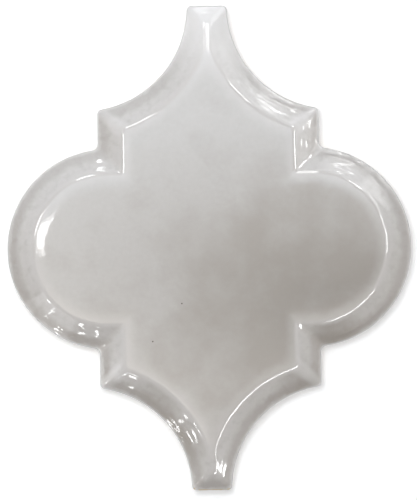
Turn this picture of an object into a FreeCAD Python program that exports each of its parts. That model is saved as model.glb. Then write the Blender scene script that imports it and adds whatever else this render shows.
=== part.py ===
"""Bevelled arabesque wall tile, pressed and fired in one piece.

The tile lies on its back. +Z points out of the glazed face, +Y runs from neck to neck, +X from lobe to
lobe, and the origin is at the middle of the back. Sizes are in millimetres.
"""

import FreeCAD
import Part

import math
import os

from FreeCAD import Vector

# Outline seen from the front
TILE_WIDTH = 125.0
TILE_LENGTH = 150.0
NECK_WIDTH = 12.4
NECK_ARC_RADIUS = 32.2
SHOULDER_WIDTH = 68.5
LOBE_RADIUS = 30.9
CORNER_RADIUS = 1.5
INNER_CORNER_RADIUS = 2.2

# Section from the back to the flat of the face
THICKNESS = 8.5
RIM_HEIGHT = 5.5
BEVEL_WIDTH = 7.9
HIP_RADIUS = 5.0
RIDGE_RADIUS = 5.0
RIM_RADIUS = 0.8
BACK_CHAMFER = 0.5

# Key grooves in the back, which the adhesive fills
KEY_DEPTH = 0.8
KEY_WIDTH = 3.2
KEY_PITCH = 6.4
KEY_MARGIN = 5.0
KEY_DRAFT = 30.0
KEY_SHORTEST = 10.0

# How far a cutter runs past the face it cuts, how far the bevels run on above the flat before it is cut,
# and how close two places are the same
CUT_OVER = 1.0
ROOF_OVER = 2.0
SAME_PLACE = 0.001

# Places and slopes worked out from the sizes above
NECK_HALF = NECK_WIDTH / 2
SHOULDER_HALF = SHOULDER_WIDTH / 2
END_Y = TILE_LENGTH / 2
NECK_ARC_X = NECK_HALF + NECK_ARC_RADIUS
SHOULDER_Y = END_Y - math.sqrt(NECK_ARC_RADIUS**2 - (NECK_ARC_X - SHOULDER_HALF) ** 2)
LOBE_X = TILE_WIDTH / 2 - LOBE_RADIUS
INNER_CORNER_Y = math.sqrt(LOBE_RADIUS**2 - max(SHOULDER_HALF - LOBE_X, 0) ** 2)
BEVEL_SLOPE = (THICKNESS - RIM_HEIGHT) / BEVEL_WIDTH
CORNER_RIM_TOP = RIM_HEIGHT + BEVEL_SLOPE * CORNER_RADIUS
ROOF_HEIGHT = THICKNESS + ROOF_OVER
ROOF_RUN = (ROOF_HEIGHT - RIM_HEIGHT) / BEVEL_SLOPE


def polygon_face(points):
    """Flat face with straight sides."""
    return Part.Face(Part.makePolygon(points + [points[0]]))


def heights(edge):
    """Lowest and highest level of an edge, read at its ends and middle."""
    first = edge.FirstParameter
    last = edge.LastParameter
    levels = [edge.valueAt(place).z for place in (first, (first + last) / 2, last)]
    return min(levels), max(levels)


def edges_where(solid, test):
    """Edges whose lowest and highest level pass a test."""
    return [edge for edge in solid.Edges if test(*heights(edge))]


def neck_arc(neck, shoulder, side, end_side):
    """Hollow curve from a neck to a shoulder, in the quarter given by the two signs."""
    centre = Vector(side * NECK_ARC_X, end_side * END_Y, 0)
    bulge = (neck + shoulder) * 0.5 - centre
    bulge.normalize()
    return Part.Arc(neck, centre + bulge * NECK_ARC_RADIUS, shoulder).toShape()


def stem_outline():
    """Upright part of the outline: necks, hollow curves and the straight sides between the shoulders."""
    edges = []
    for side in (1, -1):
        for end_side in (1, -1):
            neck = Vector(side * NECK_HALF, end_side * END_Y, 0)
            shoulder = Vector(side * SHOULDER_HALF, end_side * SHOULDER_Y, 0)
            edges.append(neck_arc(neck, shoulder, side, end_side))
        edges.append(Part.makeLine(
            Vector(side * SHOULDER_HALF, SHOULDER_Y, 0),
            Vector(side * SHOULDER_HALF, -SHOULDER_Y, 0),
        ))
    for end_side in (1, -1):
        edges.append(Part.makeLine(
            Vector(-NECK_HALF, end_side * END_Y, 0),
            Vector(NECK_HALF, end_side * END_Y, 0),
        ))
    return Part.Face(Part.Wire(Part.__sortEdges__(edges)))


def bevel_wedge(reach, turn, half_length):
    """Cutter that bevels a straight side lying at the given reach from the middle of the tile."""
    over_rise = CUT_OVER * BEVEL_SLOPE
    section = polygon_face([
        Vector(reach + CUT_OVER, -half_length, RIM_HEIGHT - over_rise),
        Vector(reach - ROOF_RUN - CUT_OVER, -half_length, ROOF_HEIGHT + over_rise),
        Vector(reach + CUT_OVER, -half_length, ROOF_HEIGHT + over_rise),
    ])
    wedge = section.extrude(Vector(0, 2 * half_length, 0))
    wedge.rotate(Vector(0, 0, 0), Vector(0, 0, 1), turn)
    return wedge


def bevel_cone(side, end_side):
    """Cutter that bevels one hollow curve."""
    over_rise = CUT_OVER * BEVEL_SLOPE
    foot = Vector(side * NECK_ARC_X, end_side * END_Y, RIM_HEIGHT - over_rise)
    low_radius = NECK_ARC_RADIUS - CUT_OVER
    top_radius = NECK_ARC_RADIUS + ROOF_RUN + CUT_OVER
    return Part.makeCone(low_radius, top_radius, ROOF_HEIGHT - RIM_HEIGHT + 2 * over_rise, foot)


def with_round_rim(solid):
    """Round the rim, where the bevel meets the side wall."""
    rims = edges_where(solid, lambda low, high: low > RIM_HEIGHT - SAME_PLACE and high < CORNER_RIM_TOP)
    return solid.makeFillet(RIM_RADIUS, rims).Solids[0]


def stem():
    """Neck-to-neck part under its full bevels, with hips at its corners and a ridge along each neck."""
    block = stem_outline().extrude(Vector(0, 0, ROOF_HEIGHT))
    uprights = edges_where(block, lambda low, high: low < SAME_PLACE and high > RIM_HEIGHT)
    block = block.makeFillet(CORNER_RADIUS, uprights)
    cutters = [bevel_cone(side, end_side) for side in (1, -1) for end_side in (1, -1)]
    cutters += [bevel_wedge(SHOULDER_HALF, turn, TILE_LENGTH) for turn in (0, 180)]
    cutters += [bevel_wedge(END_Y, turn, TILE_WIDTH) for turn in (90, 270)]
    block = block.cut(cutters).Solids[0]
    hips = edges_where(
        block,
        lambda low, high: RIM_HEIGHT - SAME_PLACE < low < ROOF_HEIGHT - SAME_PLACE and high > CORNER_RIM_TOP,
    )
    return with_round_rim(block.makeFillet(HIP_RADIUS, hips).Solids[0])


def cross():
    """Lobe-to-lobe part under its full bevels: a bar with a round lobe at each end."""
    flank = [
        Vector(0, LOBE_RADIUS, 0),
        Vector(0, LOBE_RADIUS, RIM_HEIGHT),
        Vector(0, LOBE_RADIUS - ROOF_RUN, ROOF_HEIGHT),
    ]
    far_flank = [Vector(0, -point.y, point.z) for point in reversed(flank)]
    bar = polygon_face(flank + far_flank)
    bar.translate(Vector(-LOBE_X, 0, 0))
    bar = bar.extrude(Vector(2 * LOBE_X, 0, 0))
    lobes = []
    for side in (1, -1):
        section = polygon_face([Vector(0, 0, 0)] + flank + [Vector(0, 0, ROOF_HEIGHT)])
        section.translate(Vector(side * LOBE_X, 0, 0))
        lobes.append(section.revolve(Vector(side * LOBE_X, 0, 0), Vector(0, 0, 1), 360))
    return with_round_rim(bar.fuse(lobes).removeSplitter().Solids[0])


def inner_corner_edges(solid):
    """Upright edges where a straight side meets a lobe. A fillet on them runs on up the valley above."""
    uprights = edges_where(solid, lambda low, high: low < SAME_PLACE and high > RIM_HEIGHT / 2)
    found = []
    for edge in uprights:
        foot = edge.valueAt(edge.FirstParameter)
        off_x = abs(abs(foot.x) - SHOULDER_HALF)
        off_y = abs(abs(foot.y) - INNER_CORNER_Y)
        if off_x < SAME_PLACE and off_y < SAME_PLACE:
            found.append(edge)
    return found


def with_flat_face(solid):
    """Cut the bevels off level at the flat of the face and round the ridge around it."""
    corner = Vector(-TILE_WIDTH, -TILE_LENGTH, THICKNESS)
    solid = solid.cut(Part.makeBox(2 * TILE_WIDTH, 2 * TILE_LENGTH, ROOF_OVER + CUT_OVER, corner))
    solid = solid.removeSplitter().Solids[0]
    ridge = edges_where(solid, lambda low, high: low > THICKNESS - SAME_PLACE)
    return solid.makeFillet(RIDGE_RADIUS, ridge).Solids[0]


def rectangle(half_x, half_y, level):
    """Level rectangle about the Z axis, as a closed wire."""
    corners = [(half_x, half_y), (-half_x, half_y), (-half_x, -half_y), (half_x, -half_y), (half_x, half_y)]
    return Part.makePolygon([Vector(x, y, level) for x, y in corners])


def half_length_inside(field, level_y):
    """How far a line across the tile reaches to either side inside a face, or nothing where it misses."""
    line = Part.makeLine(Vector(-TILE_WIDTH, level_y, 0), Vector(TILE_WIDTH, level_y, 0)).common(field)
    return line.BoundBox.XMax if line.Edges else 0


def key_grooves(back):
    """Rows of drafted grooves across the back, inside a plain margin, with a land along the middle."""
    field = Part.Face(back.makeOffset2D(-KEY_MARGIN).Wires[0])
    spread = math.tan(math.radians(KEY_DRAFT))
    half_width = KEY_WIDTH / 2
    rows = math.ceil(END_Y / KEY_PITCH)
    grooves = []
    for row in range(-rows, rows):
        middle = (row + 0.5) * KEY_PITCH
        half_length = min(half_length_inside(field, middle + side * half_width) for side in (1, -1))
        if 2 * half_length < KEY_SHORTEST:
            continue
        mouth = rectangle(half_length + CUT_OVER * spread, half_width + CUT_OVER * spread, -CUT_OVER)
        floor = rectangle(half_length - KEY_DEPTH * spread, half_width - KEY_DEPTH * spread, KEY_DEPTH)
        groove = Part.makeLoft([mouth, floor], True, True)
        groove.translate(Vector(0, middle, 0))
        grooves.append(groove)
    return grooves


def tile():
    """Stem and cross pressed as one body, with eased inner corners, flat face, back edge and key."""
    body = stem().fuse(cross()).removeSplitter().Solids[0]
    body = body.makeFillet(INNER_CORNER_RADIUS, inner_corner_edges(body)).Solids[0]
    body = with_flat_face(body)
    body = body.makeChamfer(BACK_CHAMFER, edges_where(body, lambda low, high: high < SAME_PLACE)).Solids[0]
    back = min(body.Faces, key=lambda face: face.CenterOfMass.z)
    return body.cut(key_grooves(back)).removeSplitter().Solids[0]


os.makedirs("parts", exist_ok=True)
tile().exportStep("parts/tile.step")
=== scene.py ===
"""Glossy glazed arabesque wall tile, dressed around its solid.

Lengths are in metres. The tile lies on its back, with +Z out of the glazed face, +Y from neck to neck and
+X from lobe to lobe, as its solid does.
"""

import math
from functools import partial

import bmesh
import bpy
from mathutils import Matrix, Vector
from mathutils.geometry import delaunay_2d_cdt


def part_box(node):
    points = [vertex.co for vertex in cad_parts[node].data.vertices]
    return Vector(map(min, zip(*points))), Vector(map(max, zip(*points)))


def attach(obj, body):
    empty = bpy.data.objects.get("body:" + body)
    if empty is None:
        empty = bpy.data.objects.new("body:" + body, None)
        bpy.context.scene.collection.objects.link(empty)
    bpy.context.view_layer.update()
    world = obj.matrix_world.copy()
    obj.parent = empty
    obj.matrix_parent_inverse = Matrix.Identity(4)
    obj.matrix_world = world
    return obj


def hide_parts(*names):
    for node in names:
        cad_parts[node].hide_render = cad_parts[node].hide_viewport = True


bl_info = {
    "name": "Glazed Arabesque Tile",
    "version": (1, 0, 0),
    "blender": (4, 5, 0),
    "location": "View3D > Sidebar > Tile",
    "description": "Builds a bevelled arabesque tile with a glossy glaze, and the stage that it is shown on",
    "category": "Add Mesh",
}

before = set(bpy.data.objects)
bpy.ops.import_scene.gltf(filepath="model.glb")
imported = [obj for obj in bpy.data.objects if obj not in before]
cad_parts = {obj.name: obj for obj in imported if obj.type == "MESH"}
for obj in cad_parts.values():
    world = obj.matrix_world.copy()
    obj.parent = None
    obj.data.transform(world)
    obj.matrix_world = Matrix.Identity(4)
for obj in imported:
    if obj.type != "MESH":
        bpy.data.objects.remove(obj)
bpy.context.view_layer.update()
TILE_LOW, TILE_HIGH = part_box("tile")

MM = 0.001

# Points along each stretch of a quarter of a ring
END_STEPS = 6
CORNER_STEPS = 8
NECK_ARC_STEPS = 60
SIDE_STEPS = 16
BAR_STEPS = 4
LOBE_STEPS = 64

# Rings across each stretch of the section
RIM_RINGS = 8
BEVEL_RINGS = 16
RIDGE_RINGS = 10
CROWN_RINGS = 10

# Spacing of points on the flat, how close two points are the same, and the sharpest fold shaded smooth
FLAT_SPACING = 1.3 * MM
SAME_PLACE = 0.001 * MM
SMOOTH_ANGLE = math.radians(32)

# Sides of a rectangle's corners, and the triangulation's mode that keeps to the inside of its border
CORNERS = ((1, 1), (-1, 1), (-1, -1), (1, -1))
INSIDE_ONLY = 1

# Kinds of node that are used most, the two ways to run through a range, and the settings of a distance
MATH = "ShaderNodeMath"
VECTOR_MATH = "ShaderNodeVectorMath"
RANGE = "ShaderNodeMapRange"
NOISE = "ShaderNodeTexNoise"
MIX = "ShaderNodeMix"
EVEN = "LINEAR"
SOFT = "SMOOTHSTEP"
DISTANCE = {"operation": "DISTANCE", "output": "Value"}

# Noises in the glaze and the body: size of a feature, and levels of finer noise. The slow waves have
# only their levels here, as their size is one of the tile's.
WAVE_DETAIL = 1.0
GRAINS = (0.7 * MM, 3.0)
GLAZE_NOISES = {
    "clouds": (11 * MM, 5.0),
    "mottle": (1.3 * MM, 4.0),
    "drift": (3.5 * MM, 3.0),
    "freckles": (2.4 * MM, 2.0),
    "dashes": (1.2 * MM, 1.0),
    "sag": (7 * MM, 3.0),
    "grains": GRAINS,
    "peel": (2.6 * MM, 2.0),
}
BISQUE_NOISES = {"grains": GRAINS, "clouds": (18 * MM, 4.0)}

# How far the noises move the bands of the glaze across the bevel, and its lower edge up and down the side
DRIFT = (0.0, 1.0, -1.1 * MM, 1.1 * MM)
SAG = (0.0, 1.0, -1.6 * MM, 1.6 * MM)

# Shares of the glaze's tones, its haze and depths of its relief. Each follows one measure of a point, evenly
# or with soft ends. Its first two numbers are values of that measure, and its last two are what it is there.
GLAZE_RANGES = {
    "clouds": ("clouds", EVEN, 0.3, 0.7, -0.35, 0.35),
    # Painted shade: the glaze goes lighter away from a place right of and below the middle, where the light
    # is dimmer
    "out_of_painted_shade": ("thick_away", SOFT, 16 * MM, 60 * MM, 0.0, 1.0),
    "on_bevel": ("inset", EVEN, 6.0 * MM, 8.0 * MM, 1.0, 0.0),
    "thin_bevel": ("inset", SOFT, 7.0 * MM, 9.0 * MM, 0.6, 0.0),
    "mottle": ("mottle", EVEN, 0.3, 0.7, 0.0, 0.13),
    "pool_start": ("uneven", SOFT, 0.4 * MM, 1.3 * MM, 0.0, 1.0),
    "pool_end": ("uneven", SOFT, 2.2 * MM, 4.6 * MM, 1.0, 0.0),
    # Painted light: the pooled band is fainter towards the upper neck, where more light falls
    "pool_with_painted_light": ("along", SOFT, 5 * MM, 40 * MM, 0.55, 0.42),
    "freckles": ("freckles", EVEN, 0.5, 0.75, 0.0, 0.2),
    "thin_start": ("uneven", SOFT, 5.8 * MM, 7.6 * MM, 0.0, 1.0),
    "thin_end": ("uneven", SOFT, 8.2 * MM, 12.0 * MM, 0.45, 0.0),
    "hips": ("hip_away", SOFT, 1.0 * MM, 3.5 * MM, 0.25, 0.0),
    # Painted light: the upper neck, towards the window and the key, made paler
    "painted_light_upper_neck": ("along", SOFT, 48 * MM, 72 * MM, 0.0, 0.8),
    "rim": ("inset", EVEN, 0.15 * MM, 0.6 * MM, 0.9, 0.0),
    "dashes": ("dashes", EVEN, 0.47, 0.53, 0.0, 1.0),
    "worn_edge": ("inset", EVEN, 0.35 * MM, 0.55 * MM, 1.0, 0.0),
    "worn_end": ("along", EVEN, -74.2 * MM, -73 * MM, 1.0, 0.0),
    "bare_foot": ("glaze_level", EVEN, 2.0 * MM, 2.3 * MM, 1.0, 0.0),
    "haze": ("mottle", EVEN, 0.3, 0.7, 0.03, 0.06),
    "streak_depth": ("inset", SOFT, 6.5 * MM, 8.5 * MM, 0.13 * MM, 0.0),
    "meniscus": ("uneven", SOFT, 0.9 * MM, 2.7 * MM, 0.0, 0.08 * MM),
}

# Middle of the painted shade on the face: a darker patch that stands for dimmer light right of and below the
# middle. Places on the lower bevels where the glaze is darker, as X and Y in millimetres, each with the
# share of its dark tone, and the distances over which that ends.
PAINTED_SHADE_PLACE = (30 * MM, -20 * MM)
DARKER_BEVEL_PLACES = ((39.0, -27.0, 0.5), (28.0, -42.0, 0.3), (-17.0, -49.0, 0.3), (-10.0, -61.0, 0.4))
DARKER_BEVEL_REACH = (3 * MM, 11 * MM)

# Iron specks fired into the face, as X and Y in millimetres, and the distances over which one ends
IRON_SPECKS = ((-8.7, -17.0), (-17.8, -28.6))
IRON_SPECK_REACH = (0.1575 * MM, 0.27 * MM)

# Skin of the glaze: depth of its orange peel, how many times deeper the grains of the bare foot are, and the
# size and detail of the streaks along the bevel
PEEL_DEPTH = 0.012 * MM
GRAIN_RELIEF = 4.0
STREAK_LENGTH = 12 * MM
STREAK_WIDTH = 2.4 * MM
STREAK_DETAIL = 1.0

# Index of refraction of the glaze, and roughness of the bare body under it
GLAZE_IOR = 1.55
BARE_ROUGHNESS = 0.85

# Back of the tile: shares of dark grains and clouds, roughness, index of refraction and depth of grit
BISQUE_GRAINS = (0.45, 0.7, 0.0, 0.6)
BISQUE_CLOUDS = (0.4, 0.7, 0.0, 0.5)
BISQUE_ROUGHNESS = (0.3, 0.7, 0.78, 0.92)
BISQUE_IOR = 1.5
GRIT_DEPTH = 0.06 * MM

# Floor: half its width, and how far it lies under the back
FLOOR_HALF = 2.0
FLOOR_DROP = 0.05 * MM

# Where the camera hangs beside the middle of the tile, and its turn about the vertical in radians
CAMERA_ASIDE = (-0.3 * MM, -0.6 * MM)
CAMERA_TURN = -0.0119

# Dome that the gloss sees: azimuth of its window's side in degrees, radiance overhead in the middle, rise to
# that side, and radiance low down. Then the heights of a direction between which the low part goes over into
# the top, how far it points to the window where the tint goes over, and the strength that the camera sees.
WINDOW_AZIMUTH = 93
DOME_MIDDLE = 2.7
DOME_RISE = 2.8
DOME_FOOT = 1.0
DOME_HEIGHTS = (0.35, 0.7)
DOME_TINT = (-0.5, 0.5)
WHITE = 1.0

# Card over the camera: its height, half sizes and the place of its dim patch. From there its radiance rises
# in each metre to the left and right, and away from and towards the window. It has a limit to the left, one
# away from the window and one overall. The last pair is where its tint goes over to daylight.
CARD_HEIGHT = 1.6
CARD_HALF_WIDTH = 0.34
CARD_HALF_LENGTH = 0.4
CARD_DIM_PLACE = (0.11, -0.04)
CARD_RISE_X = (14.5, 4.0)
CARD_RISE_Y = (20.0, 31.0)
CARD_LIMIT_X = 4.0
CARD_LIMIT_Y = 1.9
CARD_BRIGHTEST = 5.6
CARD_TINT = (-0.1, 0.15)

# Power of an area lamp for each square metre of it and unit of its radiance
LAMP_POWER = 4

# Lamps: azimuth and tilt off the vertical in degrees, distance in metres, size across and along the tilt in
# degrees as the tile sees it, and radiance. The key lights the tile, and the glints only show in its gloss.
KEY_SOFTBOX = (125, 14, 0.45, 22, 22, 8.5)
GLINTS = {
    "left_lamp": (173, 7.8, 1.5, 2.0, 2.6, 11.5),
    "upper_left_lamp": (99.2, 41.6, 1.5, 3.0, 1.8, 12.0),
    "upper_left_ridge_lamp": (113.5, 26, 1.5, 6.0, 9.0, 10.0),
    "left_shoulder_lamp": (164, 16.6, 1.5, 4.6, 4.6, 14.0),
    "upper_right_lamp": (48.8, 31.2, 1.5, 5.5, 4.4, 18.0),
    "upper_right_dashes": (62, 48, 1.5, 12.0, 1.4, 8.0),
    "right_lobe_dashes": (57.5, 49, 0.285, 8.0, 0.8, 7.0),
    "right_shoulder_lamp": (26.1, 55.5, 0.1164, 2.2, 1.1, 14.0),
    "right_side_lamp": (21.3, 56, 0.1171, 1.1, 0.7, 14.0),
    "right_shoulder_window": (25.5, 54.0, 0.117, 18.0, 15.0, 1.5),
    "upper_right_window": (52, 43, 1.5, 34.0, 18.0, 1.2),
    "neck_lamp": (87, 20.5, 1.5, 8.0, 13.0, 6.0),
    "top_lamp": (89, 51, 1.5, 7.5, 2.4, 5.5),
    "right_lamp": (8.6, 26.8, 1.5, 12.0, 6.0, 11.0),
    "lower_right_strip": (-51, 27.5, 1.5, 19.0, 4.0, 20.0),
    "lower_right_window": (-42, 43, 1.5, 40.0, 16.0, 0.35),
    "lower_left_window": (229.7, 53.8, 0.291, 2.4, 2.0, 20.0),
    "left_lobe_window": (215.6, 58.2, 0.127, 22.6, 16.2, 1.3),
    "shoulder_lamp": (246.8, 42.8, 1.5, 2.0, 1.8, 14.0),
    "crease_lamp": (257, 43, 1.5, 1.6, 1.6, 14.0),
    "lower_left_lamp": (217, 40.8, 1.5, 2.6, 2.4, 22.0),
    "low_lamp": (223.5, 45.5, 1.5, 1.2, 1.2, 12.0),
    "low_right_lamp": (-72, 67.2, 0.0868, 2.4, 2.1, 18.0),
}


def linear(hex_colour):
    """Linear colour of an sRGB hex value such as #C0BCB6, by the curve of the sRGB standard."""
    channels = [int(hex_colour[place:place + 2], 16) / 255 for place in (1, 3, 5)]
    return [c / 12.92 if c <= 0.04045 else ((c + 0.055) / 1.055) ** 2.4 for c in channels]


def metres(name, description, default):
    """Property that holds a length."""
    return bpy.props.FloatProperty(
        name=name, description=description, default=default, min=0, unit="LENGTH", precision=5)


def tint_of(name, description, hex_colour):
    """Property that holds a colour."""
    return bpy.props.FloatVectorProperty(
        name=name, description=description, default=linear(hex_colour), min=0, max=1, subtype="COLOR")


def number(name, description, default):
    """Property that holds a plain number."""
    return bpy.props.FloatProperty(name=name, description=description, default=default, min=0)


class TileSizes(bpy.types.PropertyGroup):
    """Sizes of the tile"""

    width: metres("Width", "From lobe to lobe", TILE_HIGH.x - TILE_LOW.x)
    length: metres("Length", "From neck to neck", TILE_HIGH.y - TILE_LOW.y)
    thickness: metres("Thickness", "From the back to the flat of the face", TILE_HIGH.z - TILE_LOW.z)
    neck_width: metres("Neck width", "Width of the end of a neck", 12.4 * MM)
    neck_arc_radius: metres("Neck curve radius", "Radius of the hollow curves", 32.2 * MM)
    shoulder_width: metres("Shoulder width", "Between the straight sides", 68.5 * MM)
    lobe_radius: metres("Lobe radius", "Radius of the round lobes", 30.9 * MM)
    corner_radius: metres("Corner radius", "Rounding of the outer corners", 1.5 * MM)
    inner_corner_radius: metres("Inner corner radius", "Rounding of the inner corners", 2.2 * MM)
    crease_radius: metres("Crease radius", "Rounding of the inner corners up at the ridge", 0.8 * MM)
    hip_growth: number("Hip growth", "Rounding that the shoulders gain with each length inwards", 0.15)
    rim_height: metres("Rim height", "From the back to the foot of the bevel", 5.5 * MM)
    bevel_width: metres("Bevel width", "From the outline to the ridge", 7.9 * MM)
    ridge_radius: metres("Ridge radius", "Rounding between bevel and face", 5.0 * MM)
    rim_radius: metres("Rim radius", "Rounding between bevel and side", 0.8 * MM)
    crown_drop: metres("Crown drop", "How much lower the glaze lies at the ridge", 0.06 * MM)
    crown_width: metres("Crown width", "Width over which the face falls to the ridge", 4.0 * MM)
    back_chamfer: metres("Back chamfer", "Chamfer along the edge of the back", 0.5 * MM)
    key_depth: metres("Key depth", "Depth of the grooves in the back", 0.8 * MM)
    key_width: metres("Key width", "Width of a groove at its mouth", 3.2 * MM)
    key_pitch: metres("Key pitch", "From groove to groove", 6.4 * MM)
    key_margin: metres("Key margin", "Plain margin around the grooves", 5.0 * MM)
    key_shortest: metres("Shortest key", "Shortest groove that is pressed", 10.0 * MM)
    key_draft: bpy.props.FloatProperty(
        name="Key draft", description="Slope of the groove walls", default=math.radians(30), subtype="ANGLE")
    wave_height: metres("Wave height", "Depth of the slow waves in the glaze", 0.05 * MM)
    wave_size: metres("Wave size", "Width of the slow waves in the glaze", 14.0 * MM)
    seed: bpy.props.IntProperty(name="Seed", description="Picks the waves in the glaze", default=7)


class TileFinish(bpy.types.PropertyGroup):
    """Colours of the tile"""

    glaze: tint_of("Glaze", "Main colour of the glaze", "#A19B94")
    # The light glaze is also what lies outside the painted shade right of and below the middle
    glaze_light: tint_of("Light glaze", "Cloudy light patches of the glaze", "#B1ADA9")
    glaze_thin: tint_of("Thin glaze", "Glaze drawn thin over a ridge", "#BFBBB8")
    # The pale glaze is thin glaze on the rim and the hips, and painted light on the upper neck
    glaze_pale: tint_of("Pale glaze", "Glaze at its thinnest, on the rim and the upper neck", "#DCDAD9")
    glaze_pooled: tint_of("Pooled glaze", "Glaze gathered at the foot of the bevel", "#98918A")
    # The freckle tone also darkens the listed places on the lower bevels
    glaze_freckle: tint_of("Freckles", "Brown freckles and thick runs on the bevel", "#857D73")
    bisque: tint_of("Bisque", "Fired body under the glaze", "#D8CBB4")
    bisque_dark: tint_of("Dark bisque", "Darker grains of the fired body", "#BFAE93")
    iron: tint_of("Iron speck", "Specks of iron in the glaze", "#4A443E")


class TileStage(bpy.types.PropertyGroup):
    """Floor, light and camera"""

    floor: tint_of("Floor", "Colour of the floor", "#E6E6E6")
    daylight: tint_of("Daylight", "Tint of the light on the side of the window", "#F0F5FA")
    room_light: tint_of("Room light", "Tint of the light on the side away from the window", "#FFF9F0")
    sky: tint_of("Sky", "Tint of the light from all around", "#F8FBFF")
    floor_glow: number("Floor glow", "Light that the camera sees in the floor besides its colour", 0.33)
    ambient: number("Ambient", "Light from all around", 0.56)
    camera_height: metres("Camera height", "Height of the camera over the floor", 0.75)
    frame_height: metres("Frame height", "Height of the image at the rim of the tile", 154.65 * MM)


def add_node(tree, kind, *values, sockets=None, output=None, **settings):
    """Add a node with its settings, set or link its inputs by place or by name, and return one output."""
    node = tree.nodes.new(kind)
    for name, setting in settings.items():
        setattr(node, name, setting)
    named = {socket.name: socket for socket in node.inputs if socket.enabled}
    inputs = [(node.inputs[place], value) for place, value in enumerate(values)]
    inputs += [(named[name], value) for name, value in (sockets or {}).items()]
    for socket, value in inputs:
        if isinstance(value, bpy.types.NodeSocket):
            tree.links.new(value, socket)
        else:
            socket.default_value = value
    outputs = {socket.name: socket for socket in node.outputs if socket.enabled}
    return outputs[output] if output else next(iter(outputs.values()), node)


def scale_for(size):
    """Scale that gives a noise features of a real size."""
    return 1 / size


def line(start, end, steps):
    """Points from start up to, but without, end."""
    shares = [step / steps for step in range(steps)]
    return [(start[0] + (end[0] - start[0]) * s, start[1] + (end[1] - start[1]) * s) for s in shares]


def arc(centre, radius, start, end, steps):
    """Points along an arc from one angle up to, but without, another."""
    angles = [start + (end - start) * step / steps for step in range(steps)]
    return [(centre[0] + radius * math.cos(a), centre[1] + radius * math.sin(a)) for a in angles]


def angle_between(centre, point):
    """Direction from a centre to a point."""
    return math.atan2(point[1] - centre[1], point[0] - centre[0])


class Outline:
    """Outline of the tile and the rings that run at an inset from it."""

    def __init__(self, sizes):
        """Take what the rings need from the sizes of the tile."""
        self.end_y = sizes.length / 2
        self.arc_radius = sizes.neck_arc_radius
        self.arc_centre = (sizes.neck_width / 2 + sizes.neck_arc_radius, sizes.length / 2)
        self.side_x = sizes.shoulder_width / 2
        self.lobe_radius = sizes.lobe_radius
        self.lobe_centre = (sizes.width / 2 - sizes.lobe_radius, 0.0)
        self.corner = sizes.corner_radius
        self.inner_corner = sizes.inner_corner_radius
        self.crease = sizes.crease_radius
        self.hip_growth = sizes.hip_growth
        self.bevel_width = sizes.bevel_width

    def shoulder_rounding(self, inset):
        """Rounding of the shoulders at an inset, softer further in, where the glaze has filled the hips."""
        return self.corner + self.hip_growth * inset

    def inner_rounding(self, inset):
        """Rounding of the inner corners at an inset, which tightens to a crease towards the ridge."""
        climb = min(inset / self.bevel_width, 1)
        return self.inner_corner + (self.crease - self.inner_corner) * climb**2

    def neck_corner(self, inset):
        """Where the end of a neck meets the hollow curve, or both curves meet on the ridge of the neck."""
        radius = self.arc_radius + inset
        x = self.arc_centre[0] - math.sqrt(radius**2 - inset**2)
        if x > 0:
            return x, self.end_y - inset
        return 0.0, self.end_y - math.sqrt(radius**2 - self.arc_centre[0] ** 2)

    def shoulder_corner(self, inset):
        """Where the hollow curve meets the straight side."""
        x = self.side_x - inset
        across = self.arc_centre[0] - x
        return x, self.end_y - math.sqrt((self.arc_radius + inset) ** 2 - across**2)

    def lobe_corner(self, inset):
        """Where the straight side meets the lobe, or the bar between the lobes."""
        x = self.side_x - inset
        across = max(x - self.lobe_centre[0], 0)
        return x, math.sqrt((self.lobe_radius - inset) ** 2 - across**2)

    def quarter(self, inset):
        """Points of a ring from the middle of the upper neck to the tip of the right lobe.

        All rings have the same number of points. Where no bar lies between the lobes, its points coincide.
        """
        corner = self.shoulder_rounding(inset)
        inner_corner = self.inner_rounding(inset)
        lobe_radius = self.lobe_radius - inset
        neck = self.neck_corner(inset + self.corner)
        shoulder = self.shoulder_corner(inset + corner)
        hollow = self.lobe_corner(inset - inner_corner)
        on_bar = hollow[0] < self.lobe_centre[0]
        right, up, left, down = 0, math.pi / 2, math.pi, 1.5 * math.pi
        into_lobe = down if on_bar else 2 * math.pi + angle_between(hollow, self.lobe_centre)
        lobe_start = up if on_bar else angle_between(self.lobe_centre, hollow)
        lobe = arc(self.lobe_centre, lobe_radius, lobe_start, right, LOBE_STEPS)
        bar_start = (hollow[0], hollow[1] - inner_corner) if on_bar else lobe[0]
        points = line((0.0, neck[1] + self.corner), (neck[0], neck[1] + self.corner), END_STEPS)
        points += arc(neck, self.corner, up, angle_between(neck, self.arc_centre), CORNER_STEPS)
        points += arc(
            self.arc_centre, self.arc_radius + inset,
            angle_between(self.arc_centre, neck), angle_between(self.arc_centre, shoulder), NECK_ARC_STEPS)
        points += arc(shoulder, corner, angle_between(shoulder, self.arc_centre), right, CORNER_STEPS)
        points += line((self.side_x - inset, shoulder[1]), (self.side_x - inset, hollow[1]), SIDE_STEPS)
        points += arc(hollow, inner_corner, left, into_lobe, CORNER_STEPS)
        points += line(bar_start, lobe[0], BAR_STEPS)
        return points + lobe + [(self.lobe_centre[0] + lobe_radius, 0.0)]

    def ring(self, inset):
        """Points of a whole ring, clockwise from the middle of the upper neck."""
        upper_right = self.quarter(inset)
        lower_right = [(x, -y) for x, y in reversed(upper_right)]
        lower_left = [(-x, -y) for x, y in upper_right]
        upper_left = [(-x, y) for x, y in reversed(upper_right)]
        return upper_right[:-1] + lower_right[:-1] + lower_left[:-1] + upper_left[:-1]


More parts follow.
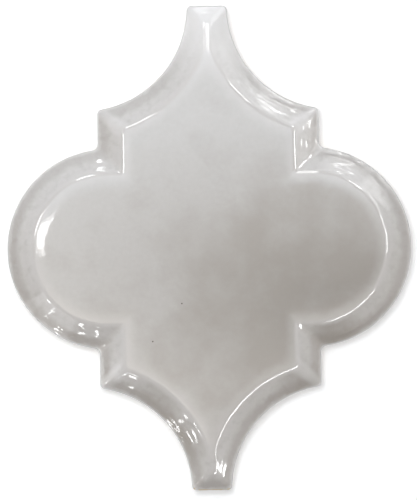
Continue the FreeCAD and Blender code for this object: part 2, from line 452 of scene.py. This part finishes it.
def section_insets(sizes):
    """Insets of the rings: close together on the rim and the ridge, wider on the bevel and the crown."""
    top = sizes.thickness - sizes.crown_drop
    slope = (top - sizes.rim_height) / sizes.bevel_width
    bevel_tilt = math.atan(slope)
    crown_tilt = math.atan(2 * sizes.crown_drop / sizes.crown_width)
    rise = math.cos(crown_tilt) - math.cos(bevel_tilt)
    ridge_start = (top - sizes.ridge_radius * rise - sizes.rim_height) / slope
    ridge_centre = ridge_start + sizes.ridge_radius * math.sin(bevel_tilt)
    ridge_end = ridge_centre - sizes.ridge_radius * math.sin(crown_tilt)
    rim_turn = math.pi / 2 - bevel_tilt
    rim = [sizes.rim_radius * (1 - math.cos(rim_turn * ring / RIM_RINGS)) for ring in range(RIM_RINGS)]
    rim_end = sizes.rim_radius * (1 - math.sin(bevel_tilt))
    bevel = [rim_end + (ridge_start - rim_end) * ring / BEVEL_RINGS for ring in range(BEVEL_RINGS)]
    tilts = [bevel_tilt + (crown_tilt - bevel_tilt) * ring / RIDGE_RINGS for ring in range(RIDGE_RINGS)]
    ridge = [ridge_centre - sizes.ridge_radius * math.sin(tilt) for tilt in tilts]
    crown = [ridge_end + sizes.crown_width * ring / CROWN_RINGS for ring in range(CROWN_RINGS + 1)]
    return rim + bevel + ridge + crown


def add_rings(bm, outline, insets):
    """Add rings of points joined by faces, and return the innermost ring.

    Each point knows its inset and the point of the outline at its foot.
    """
    inset_layer = bm.verts.layers.float["inset"]
    foot_layer = bm.verts.layers.float_vector["foot"]
    feet = [Vector((x, y, 0)) for x, y in outline.ring(0.0)]
    inner = None
    for inset in insets:
        outer = inner
        inner = [bm.verts.new((x, y, 0)) for x, y in outline.ring(inset)]
        for vert, foot in zip(inner, feet):
            vert[inset_layer] = inset
            vert[foot_layer] = foot
        if outer is None:
            continue
        for place in range(len(inner)):
            after = (place + 1) % len(inner)
            bm.faces.new((outer[place], inner[place], inner[after], outer[after]))
    return inner


def fill_ring(bm, ring, points, edges=()):
    """Fill a ring with triangles that use the points inside it and follow the edges between them.

    The new points have the ring's inset. They are returned by their place in the list of points.
    """
    inset_layer = bm.verts.layers.float["inset"]
    flat = [vert.co.xy for vert in ring] + [Vector(point) for point in points]
    count = len(ring)
    borders = [(place, (place + 1) % count) for place in range(count)]
    borders += [(count + start, count + end) for start, end in edges]
    places, _, triangles, sources, _, _ = delaunay_2d_cdt(flat, borders, [], INSIDE_ONLY, SAME_PLACE)
    made = {}
    verts = []
    for place, source in zip(places, sources):
        if source and source[0] < count:
            verts.append(ring[source[0]])
            continue
        vert = bm.verts.new((place.x, place.y, 0))
        vert[inset_layer] = ring[0][inset_layer]
        verts.append(vert)
        made.update({index - count: vert for index in source})
    for triangle in triangles:
        bm.faces.new([verts[corner] for corner in triangle])
    return made


def flat_points(outline, inset):
    """Staggered points over the flat of the face."""
    reach_x = outline.lobe_centre[0] + outline.lobe_radius - inset
    reach_y = outline.end_y - inset
    columns = math.ceil(reach_x / FLAT_SPACING)
    row_step = FLAT_SPACING * math.sqrt(3) / 2
    rows = math.ceil(reach_y / row_step)
    return [
        ((column + row % 2 / 2) * FLAT_SPACING, row * row_step)
        for row in range(-rows, rows + 1)
        for column in range(-columns, columns + 1)
    ]


def reach_at(ring, level_y):
    """How far a ring reaches to the right at a level, or nothing where the level misses it."""
    reach = 0
    for place, (x, y) in enumerate(ring):
        last_x, last_y = ring[place - 1]
        if (y - level_y) * (last_y - level_y) < 0:
            reach = max(reach, last_x + (x - last_x) * (level_y - last_y) / (y - last_y))
    return reach


def key_rectangles(sizes, outline):
    """Mouth and floor of each groove in the back, as half lengths and half widths, and its middle level."""
    field = outline.ring(sizes.back_chamfer + sizes.key_margin)
    wall = sizes.key_depth * math.tan(sizes.key_draft)
    half_width = sizes.key_width / 2
    rows = math.ceil(outline.end_y / sizes.key_pitch)
    rectangles = []
    for row in range(-rows, rows):
        middle = (row + 0.5) * sizes.key_pitch
        half_length = min(reach_at(field, middle + side * half_width) for side in (1, -1))
        if 2 * half_length >= sizes.key_shortest:
            rectangles.append(((half_length, half_width), (half_length - wall, half_width - wall), middle))
    return rectangles


def new_plan():
    """Empty plan, whose points know their inset, their foot, and whether they are on a groove's floor."""
    bm = bmesh.new()
    bm.verts.layers.float.new("inset")
    bm.verts.layers.float_vector.new("foot")
    bm.verts.layers.float.new("key")
    return bm


def face_plan(sizes, outline):
    """Flat plan of the face."""
    bm = new_plan()
    insets = section_insets(sizes)
    ring = add_rings(bm, outline, insets)
    fill_ring(bm, ring, flat_points(outline, insets[-1]))
    return bm


def back_plan(sizes, outline):
    """Flat plan of the back with its chamfer and grooves."""
    bm = new_plan()
    ring = add_rings(bm, outline, [0.0, sizes.back_chamfer])
    points = []
    edges = []
    floor_points = []
    for mouth, floor, middle in key_rectangles(sizes, outline):
        for half_length, half_width in (mouth, floor):
            first = len(points)
            points += [(x * half_length, middle + y * half_width) for x, y in CORNERS]
            edges += [(first + place, first + (place + 1) % len(CORNERS)) for place in range(len(CORNERS))]
        floor_points += range(first, len(points))
    made = fill_ring(bm, ring, points, edges)
    key_layer = bm.verts.layers.float["key"]
    for place in floor_points:
        made[place][key_layer] = 1.0
    return bm


def plan_mesh(sizes):
    """Face and back plans in one mesh, with the faces of the back marked."""
    outline = Outline(sizes)
    joined = bmesh.new()
    for plan, is_back in ((face_plan(sizes, outline), False), (back_plan(sizes, outline), True)):
        bmesh.ops.remove_doubles(plan, verts=plan.verts, dist=SAME_PLACE)
        back_layer = plan.faces.layers.bool.new("back")
        for face in plan.faces:
            face[back_layer] = is_back
        part = bpy.data.meshes.new("plan_part")
        plan.to_mesh(part)
        plan.free()
        joined.from_mesh(part)
        bpy.data.meshes.remove(part)
    mesh = bpy.data.meshes.new("tile_plan")
    joined.to_mesh(mesh)
    joined.free()
    return mesh


def circle_height(add, radius, centre, level, inset):
    """Nodes for the height of the upper half of a circle whose centre lies at an inset and a level."""
    across = add(MATH, inset, centre, operation="SUBTRACT")
    across_square = add(MATH, across, across, operation="MULTIPLY")
    radius_square = add(MATH, radius, radius, operation="MULTIPLY")
    rest = add(MATH, radius_square, across_square, operation="SUBTRACT")
    rise = add(MATH, rest, operation="SQRT")
    return add(MATH, level, rise, operation="ADD")


def section_height(add, size, inset):
    """Nodes for the height of the face at an inset: round rim, straight bevel, round ridge, crowned face."""
    top = add(MATH, size["Thickness"], size["Crown Drop"], operation="SUBTRACT")
    bevel_rise = add(MATH, top, size["Rim Height"], operation="SUBTRACT")
    slope = add(MATH, bevel_rise, size["Bevel Width"], operation="DIVIDE")
    bevel_tilt = add(MATH, slope, operation="ARCTANGENT")
    bevel_sine = add(MATH, bevel_tilt, operation="SINE")
    bevel_cosine = add(MATH, bevel_tilt, operation="COSINE")
    crown_half = add(MATH, size["Crown Width"], 2.0, operation="DIVIDE")
    crown_slope = add(MATH, size["Crown Drop"], crown_half, operation="DIVIDE")
    crown_tilt = add(MATH, crown_slope, operation="ARCTANGENT")
    crown_sine = add(MATH, crown_tilt, operation="SINE")
    crown_cosine = add(MATH, crown_tilt, operation="COSINE")
    bevel_height = add(MATH, slope, inset, size["Rim Height"], operation="MULTIPLY_ADD")

    # Round rim, a circle that touches the side and the bevel
    rim_radius = size["Rim Radius"]
    rim_foot = add(MATH, slope, rim_radius, size["Rim Height"], operation="MULTIPLY_ADD")
    rim_lift = add(MATH, rim_radius, bevel_cosine, operation="DIVIDE")
    rim_centre = add(MATH, rim_foot, rim_lift, operation="SUBTRACT")
    rim_touch = add(MATH, rim_radius, bevel_sine, operation="MULTIPLY")
    rim_end = add(MATH, rim_radius, rim_touch, operation="SUBTRACT")
    rim_height = circle_height(add, rim_radius, rim_radius, rim_centre, inset)

    # Round ridge, a circle that touches the bevel and the crown
    ridge_radius = size["Ridge Radius"]
    ridge_drop = add(MATH, ridge_radius, crown_cosine, operation="MULTIPLY")
    ridge_level = add(MATH, top, ridge_drop, operation="SUBTRACT")
    touch_level = add(MATH, ridge_radius, bevel_cosine, ridge_level, operation="MULTIPLY_ADD")
    touch_rise = add(MATH, touch_level, size["Rim Height"], operation="SUBTRACT")
    ridge_start = add(MATH, touch_rise, slope, operation="DIVIDE")
    ridge_centre = add(MATH, ridge_radius, bevel_sine, ridge_start, operation="MULTIPLY_ADD")
    ridge_rest = add(MATH, ridge_radius, crown_sine, operation="MULTIPLY")
    ridge_end = add(MATH, ridge_centre, ridge_rest, operation="SUBTRACT")
    ridge_height = circle_height(add, ridge_radius, ridge_centre, ridge_level, inset)

    # Crown, which falls from the flat to the ridge ever faster
    crown_end = add(MATH, ridge_end, size["Crown Width"], operation="ADD")
    crown_left = add(MATH, crown_end, inset, operation="SUBTRACT")
    crown_share = add(MATH, crown_left, size["Crown Width"], operation="DIVIDE", use_clamp=True)
    crown_square = add(MATH, crown_share, crown_share, operation="MULTIPLY")
    crown_fall = add(MATH, crown_square, size["Crown Drop"], operation="MULTIPLY")
    height = add(MATH, size["Thickness"], crown_fall, operation="SUBTRACT")

    stretches = ((ridge_end, ridge_height), (ridge_start, bevel_height), (rim_end, rim_height))
    for stretch_end, stretch_height in stretches:
        inside = add("FunctionNodeCompare", inset, stretch_end, operation="LESS_THAN")
        height = add("GeometryNodeSwitch", input_type="FLOAT",
                     sockets={"Switch": inside, "False": height, "True": stretch_height})
    return height


def tile_tree(sizes, materials):
    """Geometry Nodes tree that presses the flat plan into a tile, and the values of its inputs."""
    tree = bpy.data.node_groups.new("press_tile", "GeometryNodeTree")
    add = partial(add_node, tree)
    lengths = (
        "thickness", "rim_height", "bevel_width", "ridge_radius", "rim_radius", "crown_drop", "crown_width",
        "back_chamfer", "key_depth", "wave_height", "wave_size",
    )
    values = {name.replace("_", " ").title(): getattr(sizes, name) for name in lengths}
    values["Seed"] = float(sizes.seed)
    tree.interface.new_socket("Geometry", in_out="OUTPUT", socket_type="NodeSocketGeometry")
    tree.interface.new_socket("Geometry", in_out="INPUT", socket_type="NodeSocketGeometry")
    settings = {}
    for inputs, kind in ((values, "NodeSocketFloat"), (materials, "NodeSocketMaterial")):
        for name, value in inputs.items():
            socket = tree.interface.new_socket(name, in_out="INPUT", socket_type=kind)
            settings[socket.identifier] = value
    size = add("NodeGroupInput").node.outputs

    # Each point's place and inset, and the faces of the back
    place = add("GeometryNodeInputPosition")
    place_x = add("ShaderNodeSeparateXYZ", place, output="X")
    place_y = place_x.node.outputs["Y"]
    inset = add("GeometryNodeInputNamedAttribute", "inset", data_type="FLOAT")
    key = add("GeometryNodeInputNamedAttribute", "key", data_type="FLOAT")
    is_back = add("GeometryNodeInputNamedAttribute", "back", data_type="BOOLEAN")
    back = add("GeometryNodeSeparateGeometry", size["Geometry"], is_back, domain="FACE")
    face = back.node.outputs["Inverted"]

    # Face lifted to its section, less the slow waves of the glaze
    height = section_height(add, size, inset)
    wave_scale = add(MATH, 1.0, size["Wave Size"], operation="DIVIDE")
    wave = add(NOISE, noise_dimensions="4D",
               sockets={"Vector": place, "W": size["Seed"], "Scale": wave_scale, "Detail": WAVE_DETAIL})
    wave_fall = add(MATH, wave, size["Wave Height"], operation="MULTIPLY")
    waved = add(MATH, height, wave_fall, operation="SUBTRACT")
    face_place = add("ShaderNodeCombineXYZ", place_x, place_y, waved)
    face = add("GeometryNodeSetPosition", face, sockets={"Position": face_place})

    # Side wall drawn down from the rim to the chamfer
    edge_faces = add("GeometryNodeInputMeshEdgeNeighbors")
    on_rim = add("FunctionNodeCompare", data_type="INT", operation="EQUAL",
                 sockets={"A": edge_faces, "B": 1})
    wall = add("GeometryNodeExtrudeMesh", mode="EDGES",
               sockets={"Mesh": face, "Selection": on_rim, "Offset Scale": 0.0})
    foot_place = add("ShaderNodeCombineXYZ", place_x, place_y, size["Back Chamfer"])
    wall = add("GeometryNodeSetPosition", wall,
               sockets={"Selection": wall.node.outputs["Top"], "Position": foot_place})

    # Back with its chamfer, and the floors of the grooves lifted
    chamfer_fall = add(MATH, size["Back Chamfer"], inset, operation="SUBTRACT")
    back_height = add(MATH, key, size["Key Depth"], chamfer_fall, operation="MULTIPLY_ADD")
    back_place = add("ShaderNodeCombineXYZ", place_x, place_y, back_height)
    back = add("GeometryNodeSetPosition", back, sockets={"Position": back_place})
    back = add("GeometryNodeFlipFaces", back)

    # One closed body in glaze and bisque
    body = add("GeometryNodeJoinGeometry", back)
    tree.links.new(wall, body.node.inputs[0])
    body = add("GeometryNodeMergeByDistance", body, sockets={"Distance": SAME_PLACE})
    body = add("GeometryNodeRealizeInstances", body)
    body = add("GeometryNodeSetMaterial", body, sockets={"Material": size["Glaze"]})
    body = add("GeometryNodeSetMaterial", body, sockets={"Selection": is_back, "Material": size["Bisque"]})
    add("NodeGroupOutput", body)
    return tree, settings


def pressed_mesh(sizes, materials):
    """Closed mesh of the tile, as the tree presses it from the plan."""
    holder = bpy.data.objects.new("tile_press", plan_mesh(sizes))
    bpy.context.scene.collection.objects.link(holder)
    modifier = holder.modifiers.new("Press", "NODES")
    tree, settings = tile_tree(sizes, materials)
    modifier.node_group = tree
    for identifier, value in settings.items():
        modifier[identifier] = value
    depsgraph = bpy.context.evaluated_depsgraph_get()
    mesh = bpy.data.meshes.new_from_object(holder.evaluated_get(depsgraph), depsgraph=depsgraph)
    plan = holder.data
    bpy.data.objects.remove(holder)
    bpy.data.meshes.remove(plan)
    bm = bmesh.new()
    bm.from_mesh(mesh)
    bmesh.ops.recalc_face_normals(bm, faces=bm.faces)
    open_edges = sum(not edge.is_manifold for edge in bm.edges)
    bm.to_mesh(mesh)
    bm.free()
    if open_edges:
        raise RuntimeError(f"the tile's mesh has {open_edges} open edges")
    mesh.shade_smooth()
    mesh.set_sharp_from_angle(angle=SMOOTH_ANGLE)
    return mesh


def new_material(name):
    """Empty node material, and what adds a node to it."""
    material = bpy.data.materials.new(name)
    material.use_nodes = True
    material.node_tree.nodes.clear()
    return material, partial(add_node, material.node_tree)


def glaze_measures(add, sizes):
    """What the glaze follows: noises, place along the tile, level, inset from the outline, and distances."""
    place = add("ShaderNodeTexCoord", output="Object")
    measure = {"place": place}
    for name, (size, detail) in GLAZE_NOISES.items():
        measure[name] = add(NOISE, sockets={"Vector": place, "Scale": scale_for(size), "Detail": detail})
    measure["along"] = add("ShaderNodeSeparateXYZ", place, output="Y")
    measure["level"] = measure["along"].node.outputs["Z"]
    measure["inset"] = add("ShaderNodeAttribute", attribute_name="inset", output="Fac")
    measure["foot"] = add("ShaderNodeAttribute", attribute_name="foot", output="Vector")

    # Inset and level with uneven edges, so that no band of the glaze follows the outline exactly
    drift = add(RANGE, measure["drift"], *DRIFT)
    measure["uneven"] = add(MATH, measure["inset"], drift, operation="ADD")
    sag = add(RANGE, measure["sag"], *SAG)
    measure["glaze_level"] = add(MATH, measure["level"], sag, operation="ADD")

    # Distances from the middle of the painted shade, and from the point's foot to the nearest shoulder,
    # where a hip stands
    measure["thick_away"] = add(VECTOR_MATH, place, (*PAINTED_SHADE_PLACE, sizes.thickness), **DISTANCE)
    folded = add(VECTOR_MATH, measure["foot"], operation="ABSOLUTE")
    shoulder = (*Outline(sizes).shoulder_corner(0.0), 0.0)
    measure["hip_away"] = add(VECTOR_MATH, folded, shoulder, **DISTANCE)
    return measure


def glaze_tone(add, finish, sizes, measure, share):
    """Colour of the glaze: tones in layers over its main colour, and the bare body at its foot."""
    colour_of = {name: (*getattr(finish, name), 1) for name in finish.__annotations__}
    # Light tone in the clouds, and everywhere away from the painted shade right of and below the middle
    light = add(MATH, share["clouds"], share["out_of_painted_shade"], operation="ADD")
    rim_foot = sizes.rim_height - 2 * sizes.rim_radius
    near_rim = add(RANGE, measure["level"], rim_foot, rim_foot + sizes.rim_radius)
    # Places on the lower bevels where the glaze is darker, in the freckles' tone
    runs = []
    for x, y, most in DARKER_BEVEL_PLACES:
        away = add(VECTOR_MATH, measure["place"], (x * MM, y * MM, sizes.rim_height), **DISTANCE)
        runs.append(add(RANGE, away, *DARKER_BEVEL_REACH, most, 0.0, interpolation_type=SOFT))
    specks = []
    for x, y in IRON_SPECKS:
        away = add(VECTOR_MATH, measure["place"], (x * MM, y * MM, sizes.thickness), **DISTANCE)
        specks.append(add(RANGE, away, *IRON_SPECK_REACH, 1.0, 0.0))

    # Each layer's share is the product of its factors, and the layers lie over one another in this order
    layers = [
        # Light tone from the clouds and from outside the painted shade
        ([light], "glaze_light"),
        ([share["thin_bevel"]], "glaze_thin"),
        ([share["mottle"]], "glaze_pooled"),
        # Pooled band at the foot of the bevel, fainter towards the upper neck as painted light
        ([share["pool_start"], share["pool_end"], share["pool_with_painted_light"]], "glaze_pooled"),
        ([share["freckles"], share["on_bevel"]], "glaze_freckle"),
        # Darker places on the lower bevels
        *[([run, share["on_bevel"]], "glaze_freckle") for run in runs],
        ([share["thin_start"], share["thin_end"]], "glaze_thin"),
        ([share["hips"], share["on_bevel"]], "glaze_pale"),
        # Painted light on the upper neck
        ([share["painted_light_upper_neck"]], "glaze_pale"),
        ([share["rim"], near_rim], "glaze_pale"),
        ([share["dashes"], share["worn_edge"], share["worn_end"], near_rim], "bisque_dark"),
        *[([speck], "iron") for speck in specks],
    ]
    tone = colour_of["glaze"]
    for (factor, *others), name in layers:
        for other in others:
            factor = add(MATH, factor, other, operation="MULTIPLY")
        tone = add(MIX, data_type="RGBA", sockets={"Factor": factor, "A": tone, "B": colour_of[name]})
    body = add(MIX, data_type="RGBA", sockets={
        "Factor": measure["grains"], "A": colour_of["bisque"], "B": colour_of["bisque_dark"]})
    return add(MIX, data_type="RGBA", sockets={"Factor": share["bare_foot"], "A": tone, "B": body})


def glaze_relief(add, measure, share):
    """Height of the skin: orange peel, grains of the bare foot, streaks on the bevel, and a pooled edge."""
    grains = add(MATH, measure["grains"], share["bare_foot"], operation="MULTIPLY")
    skin = add(MATH, grains, GRAIN_RELIEF, measure["peel"], operation="MULTIPLY_ADD")
    skin = add(MATH, skin, PEEL_DEPTH, operation="MULTIPLY")
    across = add(MATH, measure["inset"], STREAK_LENGTH / STREAK_WIDTH, operation="MULTIPLY")
    across = add("ShaderNodeCombineXYZ", 0.0, 0.0, across)
    streak_place = add(VECTOR_MATH, measure["foot"], across, operation="ADD")
    streak = add(NOISE, sockets={
        "Vector": streak_place, "Scale": scale_for(STREAK_LENGTH), "Detail": STREAK_DETAIL})
    skin = add(MATH, streak, share["streak_depth"], skin, operation="MULTIPLY_ADD")
    return add(MATH, skin, share["meniscus"], operation="ADD")


def glaze_material(finish, sizes):
    """Glossy stoneware glaze: grey and warm, cloudy, thin and pale over the ridges, dark where it pools."""
    material, add = new_material("glossy_stoneware_glaze")
    measure = glaze_measures(add, sizes)
    share = {
        name: add(RANGE, measure[follows], *values, interpolation_type=ends)
        for name, (follows, ends, *values) in GLAZE_RANGES.items()
    }
    tone = glaze_tone(add, finish, sizes, measure, share)
    roughness = add(RANGE, share["bare_foot"], 0.0, 1.0, share["haze"], BARE_ROUGHNESS)
    relief = glaze_relief(add, measure, share)
    normal = add("ShaderNodeBump", sockets={"Strength": 1.0, "Distance": 1.0, "Height": relief})
    surface = add("ShaderNodeBsdfPrincipled", sockets={
        "Base Color": tone, "Roughness": roughness, "IOR": GLAZE_IOR, "Normal": normal})
    add("ShaderNodeOutputMaterial", surface)
    return material


def bisque_material(finish):
    """Fired bisque body, dry-pressed: cream and dead matt, with darker grains and a gritty skin."""
    material, add = new_material("dry_pressed_bisque")
    place = add("ShaderNodeTexCoord", output="Object")
    noise = {
        name: add(NOISE, sockets={"Vector": place, "Scale": scale_for(size), "Detail": detail})
        for name, (size, detail) in BISQUE_NOISES.items()
    }
    tone = (*finish.bisque, 1)
    dark = (*finish.bisque_dark, 1)
    for name, values in (("grains", BISQUE_GRAINS), ("clouds", BISQUE_CLOUDS)):
        share = add(RANGE, noise[name], *values)
        tone = add(MIX, data_type="RGBA", sockets={"Factor": share, "A": tone, "B": dark})
    roughness = add(RANGE, noise["grains"], *BISQUE_ROUGHNESS)
    normal = add("ShaderNodeBump", sockets={
        "Strength": 1.0, "Distance": GRIT_DEPTH, "Height": noise["grains"]})
    surface = add("ShaderNodeBsdfPrincipled", sockets={
        "Base Color": tone, "Roughness": roughness, "IOR": BISQUE_IOR, "Normal": normal})
    add("ShaderNodeOutputMaterial", surface)
    return material


def floor_material(stage):
    """Matt white board. Camera, mirror and glass show it white, and it keeps the shadow."""
    material, add = new_material("matt_white_board")
    board = add("ShaderNodeBsdfDiffuse", (*stage.floor, 1))
    shown = add("ShaderNodeLightPath", output="Is Camera Ray")
    path = shown.node.outputs
    for kind in ("Is Glossy Ray", "Is Transmission Ray"):
        shown = add(MATH, shown, path[kind], operation="MAXIMUM")
    strength = add(MATH, shown, stage.floor_glow, operation="MULTIPLY")
    glow = add("ShaderNodeEmission", sockets={"Strength": strength})
    surface = add("ShaderNodeAddShader", board, glow)
    add("ShaderNodeOutputMaterial", surface)
    return material


def studio_world(stage):
    """White studio. Gloss sees it brighter overhead and on the side of the window, as a dome would be."""
    world = bpy.data.worlds.new("white_studio")
    world.use_nodes = True
    world.node_tree.nodes.clear()
    add = partial(add_node, world.node_tree)
    direction = add("ShaderNodeTexCoord", output="Generated")
    window = math.radians(WINDOW_AZIMUTH)
    window_side = (math.cos(window), math.sin(window), 0)
    towards = add(VECTOR_MATH, direction, window_side, operation="DOT_PRODUCT", output="Value")
    dome = add(MATH, towards, DOME_RISE, DOME_MIDDLE, operation="MULTIPLY_ADD")
    height = add("ShaderNodeSeparateXYZ", direction, output="Z")
    overhead = add(RANGE, height, *DOME_HEIGHTS, interpolation_type=SOFT)
    dome = add(MIX, sockets={"Factor": overhead, "A": DOME_FOOT, "B": dome})
    in_gloss = add("ShaderNodeLightPath", output="Is Glossy Ray")
    seen = in_gloss.node.outputs["Is Camera Ray"]
    strength = add(MIX, sockets={"Factor": in_gloss, "A": stage.ambient, "B": dome})
    strength = add(MIX, sockets={"Factor": seen, "A": strength, "B": WHITE})
    to_window = add(RANGE, towards, *DOME_TINT)
    tint = add(MIX, data_type="RGBA", sockets={
        "Factor": to_window, "A": (*stage.room_light, 1), "B": (*stage.daylight, 1)})
    tint = add(MIX, data_type="RGBA", sockets={"Factor": in_gloss, "A": (*stage.sky, 1), "B": tint})
    light = add("ShaderNodeBackground", tint, strength)
    add("ShaderNodeOutputWorld", light)
    return world


def card_material(stage):
    """White card over the camera, dim where the camera hangs and brighter towards the window."""
    material, add = new_material("glowing_card")
    place = add("ShaderNodeTexCoord", output="Object")
    away = add(VECTOR_MATH, place, (*CARD_DIM_PLACE, CARD_HEIGHT), operation="SUBTRACT")
    away_x = add("ShaderNodeSeparateXYZ", away, output="X")
    away_y = away_x.node.outputs["Y"]
    rises = []
    for along, (back, forth), limit in (
        (away_x, CARD_RISE_X, CARD_LIMIT_X), (away_y, CARD_RISE_Y, CARD_LIMIT_Y)
    ):
        behind = add(MATH, along, -back, operation="MULTIPLY")
        behind = add(MATH, behind, limit, operation="MINIMUM")
        before = add(MATH, along, forth, operation="MULTIPLY")
        rises.append(add(MATH, behind, before, operation="MAXIMUM"))
    both = add("ShaderNodeCombineXYZ", *rises)
    strength = add(VECTOR_MATH, both, operation="LENGTH", output="Value")
    strength = add(MATH, strength, CARD_BRIGHTEST, operation="MINIMUM")
    to_window = add(RANGE, away_y, *CARD_TINT)
    tint = add(MIX, data_type="RGBA", sockets={
        "Factor": to_window, "A": (*stage.room_light, 1), "B": (*stage.daylight, 1)})
    glow = add("ShaderNodeEmission", tint, strength)
    add("ShaderNodeOutputMaterial", glow)
    return material


def flat_sheet(name, half_width, half_length, level, material):
    """Level rectangle of the stage."""
    mesh = bpy.data.meshes.new(name)
    corners = [(x * half_width, y * half_length, level) for x, y in CORNERS]
    mesh.from_pydata(corners, [], [range(len(CORNERS))])
    mesh.materials.append(material)
    sheet = bpy.data.objects.new(name, mesh)
    bpy.context.scene.collection.objects.link(sheet)
    return sheet


def aimed(azimuth, tilt, distance):
    """Place at an azimuth and a tilt off the vertical, in degrees, and the turn that faces the tile."""
    turn = math.radians(azimuth)
    lean = math.radians(tilt)
    away = Vector((math.sin(lean) * math.cos(turn), math.sin(lean) * math.sin(turn), math.cos(lean)))
    return away * distance, (-away).to_track_quat("-Z", "Y")


def add_softbox(name, azimuth, tilt, distance, across, along, radiance):
    """Soft lamp that faces the tile, sized in degrees as the tile sees it, with a radiance."""
    light = bpy.data.lights.new(name, "AREA")
    light.shape = "RECTANGLE"
    light.size = distance * math.radians(across)
    light.size_y = distance * math.radians(along)
    light.energy = LAMP_POWER * light.size * light.size_y * radiance
    lamp = bpy.data.objects.new(name, light)
    lamp.location, turn = aimed(azimuth, tilt, distance)
    lamp.rotation_euler = turn.to_euler()
    lamp.visible_camera = False
    bpy.context.scene.collection.objects.link(lamp)
    return lamp


class ARABESQUE_OT_make_tile(bpy.types.Operator):
    """Make the glazed tile in place of its plain solid"""

    bl_idname = "arabesque.make_tile"
    bl_label = "Make Glazed Tile"

    def execute(self, context):
        """Press the tile in its two materials, and let it stand for its solid."""
        sizes = context.scene.arabesque_sizes
        finish = context.scene.arabesque_finish
        materials = {"Glaze": glaze_material(finish, sizes), "Bisque": bisque_material(finish)}
        tile = bpy.data.objects.new("glazed_tile", pressed_mesh(sizes, materials))
        context.scene.collection.objects.link(tile)
        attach(tile, "root")
        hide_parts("tile")
        return {"FINISHED"}


class ARABESQUE_OT_set_stage(bpy.types.Operator):
    """Set the floor, the lamps and the camera"""

    bl_idname = "arabesque.set_stage"
    bl_label = "Set Stage"

    def execute(self, context):
        """Lay the floor, light the tile and hang the camera over it."""
        stage = context.scene.arabesque_stage
        flat_sheet("floor", FLOOR_HALF, FLOOR_HALF, TILE_LOW.z - FLOOR_DROP, floor_material(stage))
        self.light(context, stage)
        self.place_camera(context, stage)
        context.scene.view_settings.view_transform = "Standard"
        return {"FINISHED"}

    def light(self, context, stage):
        """Light from all around and one key for the colour, and glints and a card for the gloss."""
        context.scene.world = studio_world(stage)
        key = add_softbox("key_softbox", *KEY_SOFTBOX)
        key.visible_glossy = False
        for name, values in GLINTS.items():
            lamp = add_softbox(name, *values)
            lamp.visible_diffuse = False
        card = flat_sheet("card", CARD_HALF_WIDTH, CARD_HALF_LENGTH, CARD_HEIGHT, card_material(stage))
        card.visible_camera = False
        card.visible_diffuse = False
        card.visible_shadow = False

    def place_camera(self, context, stage):
        """Camera that looks straight down and frames the tile."""
        data = bpy.data.cameras.new("overhead_camera")
        rim_level = TILE_LOW.z + context.scene.arabesque_sizes.rim_height
        data.lens = data.sensor_width * (stage.camera_height - rim_level) / stage.frame_height
        camera = bpy.data.objects.new("overhead_camera", data)
        camera.location = (*CAMERA_ASIDE, stage.camera_height)
        camera.rotation_euler = (0, 0, CAMERA_TURN)
        context.scene.collection.objects.link(camera)
        context.scene.camera = camera


class ARABESQUE_PT_tile(bpy.types.Panel):
    """Sizes, colours and stage of the tile"""

    bl_idname = "ARABESQUE_PT_tile"
    bl_label = "Arabesque Tile"
    bl_space_type = "VIEW_3D"
    bl_region_type = "UI"
    bl_category = "Tile"

    def draw(self, context):
        """List the properties, each group with the operator that uses it below."""
        for group, operator in (
            (context.scene.arabesque_sizes, None),
            (context.scene.arabesque_finish, ARABESQUE_OT_make_tile.bl_idname),
            (context.scene.arabesque_stage, ARABESQUE_OT_set_stage.bl_idname),
        ):
            column = self.layout.column()
            for name in group.__annotations__:
                column.prop(group, name)
            if operator:
                column.operator(operator)


GROUPS = {"arabesque_sizes": TileSizes, "arabesque_finish": TileFinish, "arabesque_stage": TileStage}
CLASSES = (*GROUPS.values(), ARABESQUE_OT_make_tile, ARABESQUE_OT_set_stage, ARABESQUE_PT_tile)


def register():
    """Register the classes, and give the scene its property groups."""
    for item in CLASSES:
        bpy.utils.register_class(item)
    for name, group in GROUPS.items():
        setattr(bpy.types.Scene, name, bpy.props.PointerProperty(type=group))


def unregister():
    """Take the property groups off the scene, and unregister the classes."""
    for name in GROUPS:
        delattr(bpy.types.Scene, name)
    for item in reversed(CLASSES):
        bpy.utils.unregister_class(item)


def main():
    """Make the tile and its stage."""
    register()
    bpy.ops.arabesque.make_tile()
    bpy.ops.arabesque.set_stage()


if __name__ == "__main__":
    main()
